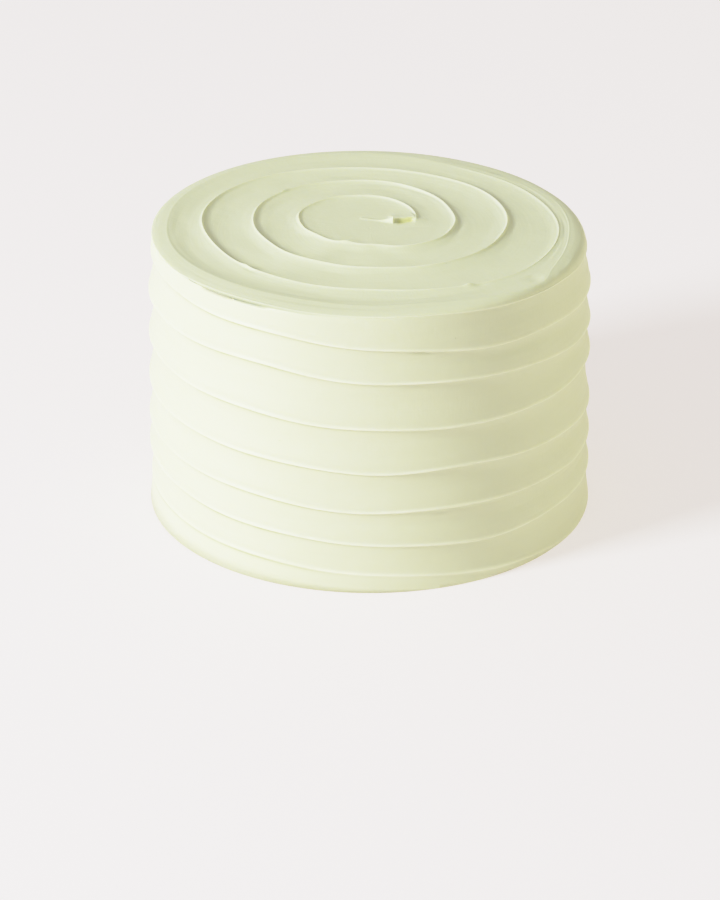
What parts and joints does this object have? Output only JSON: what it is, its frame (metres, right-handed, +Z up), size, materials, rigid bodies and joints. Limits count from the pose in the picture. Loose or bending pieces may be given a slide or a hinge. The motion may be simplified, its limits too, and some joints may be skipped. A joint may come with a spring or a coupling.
{
  "type": "buttercream cake",
  "caption": "Round layer cake covered in pale green buttercream, with one continuous palette knife groove that winds down the side and spirals over the top to a small curl.",
  "frame": {"origin": "on the cake's axis, in the plane of its flat underside", "axes": "+Z up along the cake's axis, -Y towards the side seen in the picture, +X to the right of that view"},
  "size_m": [0.171, 0.1711, 0.1136],
  "materials": {
    "buttercream": "soft satin, pale green, slightly translucent"
  },
  "bodies": {
    "root": {"buttercream_cake": "buttercream"}
  },
  "joints": []
}
